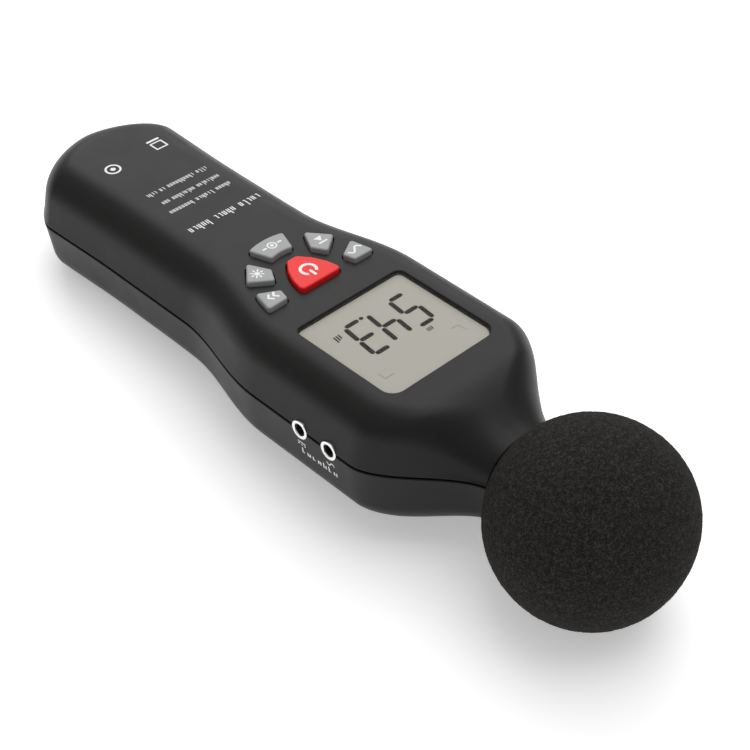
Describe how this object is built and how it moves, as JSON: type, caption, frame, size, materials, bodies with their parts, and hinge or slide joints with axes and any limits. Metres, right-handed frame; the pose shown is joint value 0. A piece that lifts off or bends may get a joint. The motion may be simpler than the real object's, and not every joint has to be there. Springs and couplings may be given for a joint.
{
  "type": "sound level meter",
  "caption": "Handheld sound level meter with a display, a fan of press keys, two side output sockets and a pull-off foam windscreen over its microphone.",
  "frame": {"origin": "mouth of the tripod socket, on the flat back of the case", "axes": "+X across the case towards the output sockets, +Y along the case towards the microphone, +Z out of the display; the tripod screw leaves along -Z"},
  "size_m": [0.0698, 0.2593, 0.0588],
  "materials": {
    "case_plastic": "fine satin texture",
    "clear_window": "clear, polished",
    "lcd": "satin polariser",
    "diffuser": "satin",
    "white_plastic": "satin",
    "elastomer": "matte",
    "board": "solder mask",
    "chip_plastic": "matte",
    "steel": "satin",
    "blue_plastic": "satin",
    "jack_plastic": "satin",
    "bright_ring": "polished nickel",
    "aluminium": "satin",
    "soft_rubber": "matte",
    "foam": "open-cell foam",
    "brass": "machined",
    "battery_jacket": "satin",
    "pad": "felt",
    "red_key": "satin",
    "grey_key": "satin",
    "screw_steel": "zinc plated"
  },
  "bodies": {
    "meter": {"front_shell": "case_plastic", "rear_shell": "case_plastic", "display_lens": "clear_window", "lcd_glass": "lcd", "backlight_diffuser": "diffuser", "lcd_holder": "white_plastic", "elastomer_strip": "elastomer", "main_board": "board", "main_chip": "chip_plastic", "amplifier_chip": "chip_plastic", "crystal_can": "steel", "calibration_trimmer": "blue_plastic", "dc_jack": "jack_plastic", "ac_jack": "jack_plastic", "dc_jack_ring": "bright_ring", "ac_jack_ring": "bright_ring", "microphone_barrel": "aluminium", "microphone_capsule": "steel", "microphone_grille": "aluminium", "microphone_collar": "soft_rubber", "tripod_insert": "brass", "battery": "battery_jacket", "battery_snap": "jack_plastic", "battery_pad": "pad", "power_switch": "steel", "record_switch": "steel", "maximum_switch": "steel", "backlight_switch": "steel", "weighting_switch": "steel", "response_switch": "steel", "case_screw_1": "screw_steel", "case_screw_2": "screw_steel", "case_screw_3": "screw_steel", "case_screw_4": "screw_steel", "board_screw_1": "screw_steel", "board_screw_2": "screw_steel", "board_screw_3": "screw_steel", "board_screw_4": "screw_steel"},
    "windscreen": {"windscreen": "foam"},
    "battery_door": {"battery_door": "case_plastic"},
    "power_key": {"power_key": "red_key"},
    "record_key": {"record_key": "grey_key"},
    "maximum_key": {"maximum_key": "grey_key"},
    "backlight_key": {"backlight_key": "grey_key"},
    "weighting_key": {"weighting_key": "grey_key"},
    "response_key": {"response_key": "grey_key"}
  },
  "joints": [
    {"name": "power_press", "type": "slide", "parent": "meter", "child": "power_key", "axis": [0, 0, -1], "range_m": [0, 0.001], "stiffness_N_per_m": 400, "springref_m": -0.002},
    {"name": "record_press", "type": "slide", "parent": "meter", "child": "record_key", "axis": [0, 0, -1], "range_m": [0, 0.001], "stiffness_N_per_m": 400, "springref_m": -0.002},
    {"name": "maximum_press", "type": "slide", "parent": "meter", "child": "maximum_key", "axis": [0, 0, -1], "range_m": [0, 0.001], "stiffness_N_per_m": 400, "springref_m": -0.002},
    {"name": "backlight_press", "type": "slide", "parent": "meter", "child": "backlight_key", "axis": [0, 0, -1], "range_m": [0, 0.001], "stiffness_N_per_m": 400, "springref_m": -0.002},
    {"name": "weighting_press", "type": "slide", "parent": "meter", "child": "weighting_key", "axis": [0, 0, -1], "range_m": [0, 0.001], "stiffness_N_per_m": 400, "springref_m": -0.002},
    {"name": "response_press", "type": "slide", "parent": "meter", "child": "response_key", "axis": [0, 0, -1], "range_m": [0, 0.001], "stiffness_N_per_m": 400, "springref_m": -0.002},
    {"name": "windscreen_slide", "type": "slide", "parent": "meter", "child": "windscreen", "axis": [0, 1, 0], "range_m": [0, 0.05]},
    {"name": "battery_door_swing", "type": "hinge", "parent": "meter", "child": "battery_door", "pos_m": [0, -0.0462, 0.0011], "axis": [1, 0, 0], "range_deg": [0, 75]}
  ]
}
